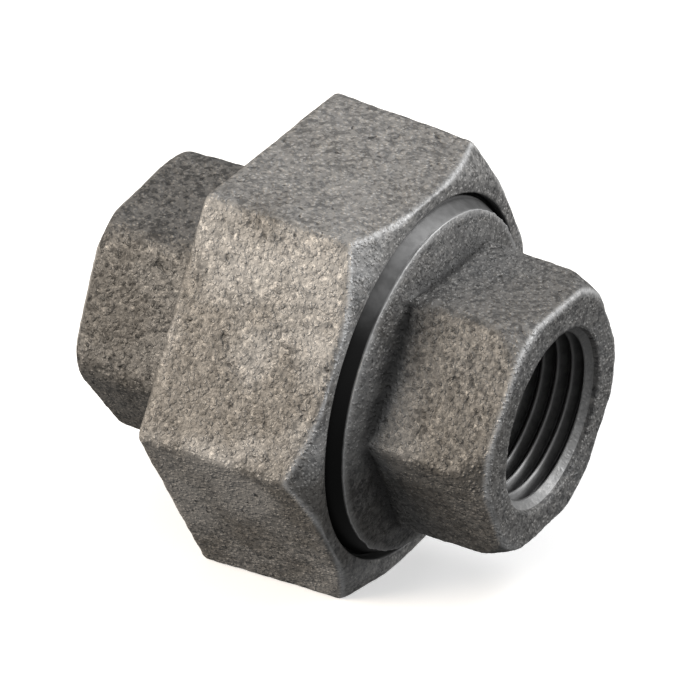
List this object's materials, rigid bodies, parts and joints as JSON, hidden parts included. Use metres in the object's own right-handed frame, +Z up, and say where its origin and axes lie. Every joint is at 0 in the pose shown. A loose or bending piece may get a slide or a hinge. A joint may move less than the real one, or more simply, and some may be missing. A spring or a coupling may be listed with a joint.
{
  "type": "pipe union",
  "caption": "Malleable-iron pipe union: hexagonal coupling nut between two hexagonal ends with female pipe threads, and a brass ground-joint seat inside.",
  "frame": {"origin": "on the pipe axis, halfway between the two end faces, with the union screwed tight", "axes": "+X along the pipe axis out of the threaded end's port, +Z up square to a flat of the nut's lip face, +Y to a corner of the nut"},
  "size_m": [0.041, 0.0426, 0.037],
  "materials": {
    "iron_nut": "rough black-oxide casting, light grain, worn edges",
    "iron_threaded_end": "rough black-oxide casting with turned neck and cut threads",
    "iron_tailpiece": "rough black-oxide casting with turned shank and cut threads",
    "brass_seat": "turned brass"
  },
  "bodies": {
    "threaded_end": {"threaded_end": "iron_threaded_end"},
    "seat_carrier": {"seat_ring": "brass_seat"},
    "nut": {"union_nut": "iron_nut"},
    "tailpiece": {"tailpiece": "iron_tailpiece"}
  },
  "joints": [
    {"name": "nut_travel", "type": "slide", "parent": "threaded_end", "child": "seat_carrier", "axis": [-1, 0, 0], "range_m": [0, 0.00832]},
    {"name": "nut_turn", "type": "hinge", "parent": "seat_carrier", "child": "nut", "pos_m": [0, 0, 0], "axis": [-1, 0, 0], "range_deg": [0, 1296]},
    {"name": "tail_swivel", "type": "hinge", "parent": "seat_carrier", "child": "tailpiece", "pos_m": [0, 0, 0], "axis": [-1, 0, 0], "continuous": true}
  ],
  "couplings": [
    {"joint": "nut_travel", "follows": "nut_turn", "m_per_rad": 0.00036749}
  ]
}
